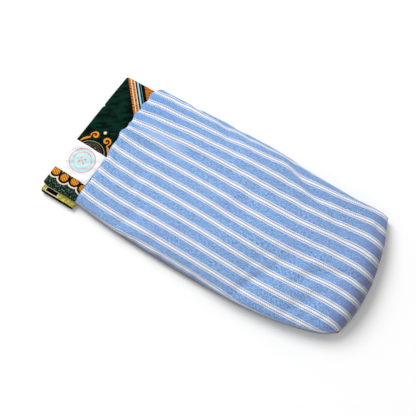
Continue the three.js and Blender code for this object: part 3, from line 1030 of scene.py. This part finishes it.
def discs(paint, x, y, base, orange):
    """Orange discs in black rings, with a scalloped cream line below them round a green ground."""
    nearest = None
    for k in range(DISC_COUNT):
        centre = (FIRST_DISC[0] - k * DISC_PITCH, FIRST_DISC[1] + DISC_STEP * (k % 2))
        rim = distance(x, y, centre) - DISC_RADIUS
        nearest = rim if nearest is None else nearest.least(rim)
    bars = ((x * 0.55 + y * 0.84) * (TAU / 1.25)).sin().ramp(-0.1, 0.5)
    face = paint.mix(bars * 0.7, orange, BURNT)
    fleck = paint.noise(x * 1.1, y * 1.1, 6.0, 3.0).ramp(0.5, 0.62)
    leaves = paint.mix(fleck * 0.85, "061612", "5c8270")
    below = y.below(DISCS_START, 0.2)
    inner = paint.mix(nearest.below(0.0), paint.mix(nearest.below(1.25), CREAM, BLACK), face)
    inner = paint.mix(nearest.below(2.15), leaves, inner)
    return paint.mix(below, base, inner)


SELVEDGE_START = -43.6
BLOCK, BLOCK_SIZE = (-89.7, -45.6), (8.0, 2.3)


def selvedge(paint, x, y, base):
    """The yellow-green edge of the cloth, with a black block of plain marks."""
    blotch = paint.noise(x * 0.7, y * 0.7, 2.0, 3.0)
    field = paint.mix(blotch.ramp(0.35, 0.65), "a8a23a", "e0d470")
    block = rounded_box(x, y, BLOCK, BLOCK_SIZE, 0.4)
    dashes = ((x - BLOCK[0]) * (TAU / 1.3)).cos().ramp(-0.2, 0.3)
    marks = dashes * (y - BLOCK[1]).abs().below(0.38, 0.1) * block.below(-0.55, 0.1)
    inside = paint.mix(marks, BLACK, CREAM)
    field = paint.mix(block.below(0.45, 0.1), field, CREAM)
    field = paint.mix(block.below(0.0, 0.1), field, inside)
    below = y.below(SELVEDGE_START, 0.15)
    base = paint.mix(y.below(SELVEDGE_START + 0.8, 0.15), base, BLACK)
    base = paint.mix(below, base, field)
    edge = y.below(BACK_LOW[1] + 0.75, 0.15).most((x - MOUTH_EDGE_X).abs().below(0.7, 0.2) * below)
    return paint.mix(edge, base, BLACK)


def rounded_box(x, y, centre, size, corner):
    """Under 0 inside the box."""
    dx = ((x - centre[0]).abs() - (size[0] / 2 - corner)).most(0.0)
    dy = ((y - centre[1]).abs() - (size[1] / 2 - corner)).most(0.0)
    return (dx * dx + dy * dy).sqrt() - corner


def casing_print(front):
    """A wax-printed cotton: a dark green ground with bands, scrolls, discs and scallops, with painted light
    and shade along its folds.
    """
    paint = Paint("casing_print_front" if front else "casing_print_back", 0.85)
    x0, y0, _ = paint.cloth()
    x = x0 + (paint.noise(x0 * 0.8, y0 * 0.8, 3.0) - 0.5) * 0.35
    y = y0 + (paint.noise(x0 * 0.8, y0 * 0.8, 11.0) - 0.5) * 0.35
    crackle = paint.noise(x * 0.9, y * 2.2, 5.0, 4.0, 0.6)
    # Painted light and shade: green and black streaks along the casing's folds; the crackle is the print's
    # own.
    fold_shade = paint.noise((x * 0.85 + y * 0.52) * 0.12, (y * 0.85 - x * 0.52) * 0.34, 1.0, 2.0)
    crackle_and_fold_shade = crackle.ramp(0.35, 0.7) * 0.35 + fold_shade.ramp(0.38, 0.62) * 0.65
    base = paint.mix(crackle_and_fold_shade, "010202", "083226")
    orange = paint.mix(crackle.ramp(0.3, 0.7), "df861f", ORANGE)
    base = diagonal_bands(paint, x, y, base, orange)
    base = scrolls(paint, x, y, base, orange)
    base = discs(paint, x, y, base, orange)
    if not front:
        base = selvedge(paint, x, y, base)
    weave = plain_weave(x0, y0, 0.30)
    slub = paint.noise(x0 * 0.7, y0 * 3.0, 1.0, 2.0)
    paint.shader.inputs["Specular IOR Level"].default_value = 0.05
    return paint.finish(paint.shade(base, weave * 0.25 + 0.85), weave + slub * 0.5, 0.08, 0.7)


BADGE, BADGE_RADIUS = (-84.6, -20.4), 8.0
RIM_RADIUS, DOTS_RADIUS = 5.6, 9.3
HOLE_OUT, HOLE_RADIUS = 1.45, 0.72  # the button's four holes


def label_ribbon():
    """A pale woven ribbon printed with a round badge of a sewing button."""
    paint = Paint("label_ribbon", 0.7)
    x, y, _ = paint.cloth()
    fibre = paint.noise(x * 3.0, y * 3.0, 1.0, 2.0)
    base = paint.mix(fibre.ramp(0.3, 0.7), "f1f2f0", "fbfbfa")
    dx, dy = x - BADGE[0], y - BADGE[1]
    radius = (dx * dx + dy * dy).sqrt()
    turn = dy.angle(dx)
    bleed = paint.noise(x * 0.5, y * 0.5, 4.0, 2.0)
    mint = paint.mix(bleed.ramp(0.4, 0.6), "c9ecdf", "b5e2e8")
    pink = paint.mix(bleed.ramp(0.3, 0.7), "ee8aa8", "f3a3bb")
    base = paint.mix(radius.below(BADGE_RADIUS, 0.15), base, mint)
    base = paint.mix(((radius - BADGE_RADIUS).abs() - 0.32).below(0.0, 0.12), base, pink)
    rim = ((radius - RIM_RADIUS).abs() - 0.22 - turn.sin() * 0.12).below(0.0, 0.12)
    hx, hy = dx.abs() - HOLE_OUT, dy.abs() - HOLE_OUT
    holes = (hx * hx + hy * hy).sqrt().below(HOLE_RADIUS, 0.1)
    threads = (dx.abs() - dy.abs()).abs().below(0.22, 0.1) * radius.below(1.6, 0.1)
    base = paint.mix(rim.most(holes).most(threads), base, pink)
    ring = ((radius - DOTS_RADIUS).abs() - 0.22).below(0.0, 0.12)
    dots = (turn * 42.0).cos().ramp(0.1, 0.6) * ring
    side = turn.abs().ramp(2.05, 2.1).most(turn.between(-2.15, -1.35, 0.05))
    base = paint.mix(dots * side, base, "69b98b")
    weave = plain_weave(x, y, 0.26)
    cloth_finish(paint, 0.15)
    return paint.finish(paint.shade(base, weave * 0.06 + 0.96), weave + fibre * 0.4, 0.06, 0.6)


# ---- putting it together

MATERIALS = {
    "stripes": striped_cotton(),
    "lining": lining_cotton(),
    "wadding": wadding_fibre(),
    "front_print": casing_print(True),
    "back_print": casing_print(False),
    "label": label_ribbon(),
    "seam_thread": thread("seam_thread", "8a6a3c", "c9a468"),
    "label_thread": thread("label_thread", "dcdcda", "fbfbfa"),
    "spring_steel": spring_steel(),
    "end_wrap": end_wrap_tape(),
}


def dress_hidden_parts():
    """The steel strips and their taped ends stay as the CAD made them, with a better finish."""
    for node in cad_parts.values():
        for place in node.material_slots:
            if place.material and place.material.name in MATERIALS:
                place.material = MATERIALS[place.material.name]


front, back = make_pouch()
make_inner_layers(front, back)
make_allowances()
make_seam_threads()
make_casings()
make_label()
dress_hidden_parts()


# ---- floor, light and camera

FLOOR_REACH = 3.0  # in m
WORLD_LIGHT = 0.56
BACKDROP = 0.93  # how bright the background is, where the floor ends
KEY_LIGHT, KEY_SIZE, KEY_PLACE = 44.0, 1.5, (-1.50, 0.50, 1.80)


def make_stage():
    mesh = bpy.data.meshes.new("floor")
    corners = [(x * FLOOR_REACH, y * FLOOR_REACH, 0)
               for x, y in ((-1, -1), (1, -1), (1, 1), (-1, 1))]
    mesh.from_pydata(corners, [], [(0, 1, 2, 3)])
    floor = bpy.data.objects.new("floor", mesh)
    floor.location.z = -0.1 * MM
    bpy.context.scene.collection.objects.link(floor)
    paint = Paint("floor_white", 0.9)
    paint.shader.inputs["Specular IOR Level"].default_value = 0.1
    mesh.materials.append(paint.finish("fafafa"))

    world = bpy.data.worlds.new("studio")
    world.use_nodes = True
    background = world.node_tree.nodes["Background"]
    background.inputs["Color"].default_value = (1.0, 1.0, 1.0, 1.0)
    seen = world.node_tree.nodes.new("ShaderNodeLightPath")
    strength = world.node_tree.nodes.new("ShaderNodeMapRange")
    strength.inputs["To Min"].default_value = WORLD_LIGHT
    strength.inputs["To Max"].default_value = BACKDROP
    world.node_tree.links.new(seen.outputs["Is Camera Ray"], strength.inputs["Value"])
    world.node_tree.links.new(strength.outputs[0], background.inputs["Strength"])
    bpy.context.scene.world = world

    light = bpy.data.lights.new("key", "AREA")
    light.shape = "DISK"
    light.size = KEY_SIZE
    light.energy = KEY_LIGHT
    key = bpy.data.objects.new("key", light)
    key.location = KEY_PLACE
    key.rotation_euler = (-key.location).to_track_quat("-Z", "Y").to_euler()
    bpy.context.scene.collection.objects.link(key)


CAMERA_ANGLES = (31.44, 67.54, 0.313)  # turn, rise and roll in degrees
LOOK_AT, CAMERA_AWAY = (-6.156, -4.303, 0.0), 357.25
CAMERA_LENS = 51.92


def make_camera():
    """Looks down at the pouch from the photograph's side."""
    turn, rise, roll = (math.radians(a) for a in CAMERA_ANGLES)
    back_way = np.array([math.sin(turn) * math.cos(rise), -math.cos(turn) * math.cos(rise),
                         math.sin(rise)])
    right = np.array([math.cos(turn), math.sin(turn), 0])
    up = np.cross(back_way, right)
    right, up = (right * math.cos(roll) + up * math.sin(roll),
                 up * math.cos(roll) - right * math.sin(roll))
    place = (np.array(LOOK_AT) + back_way * CAMERA_AWAY) * MM
    camera = bpy.data.cameras.new("camera")
    camera.lens = CAMERA_LENS
    camera.clip_start = 0.01
    seen = bpy.data.objects.new("camera", camera)
    rows = [(right[k], up[k], back_way[k], place[k]) for k in range(3)]
    seen.matrix_world = Matrix(rows + [(0, 0, 0, 1)])
    bpy.context.scene.collection.objects.link(seen)
    bpy.context.scene.camera = seen


make_stage()
make_camera()
bpy.context.scene.view_settings.view_transform = "Standard"
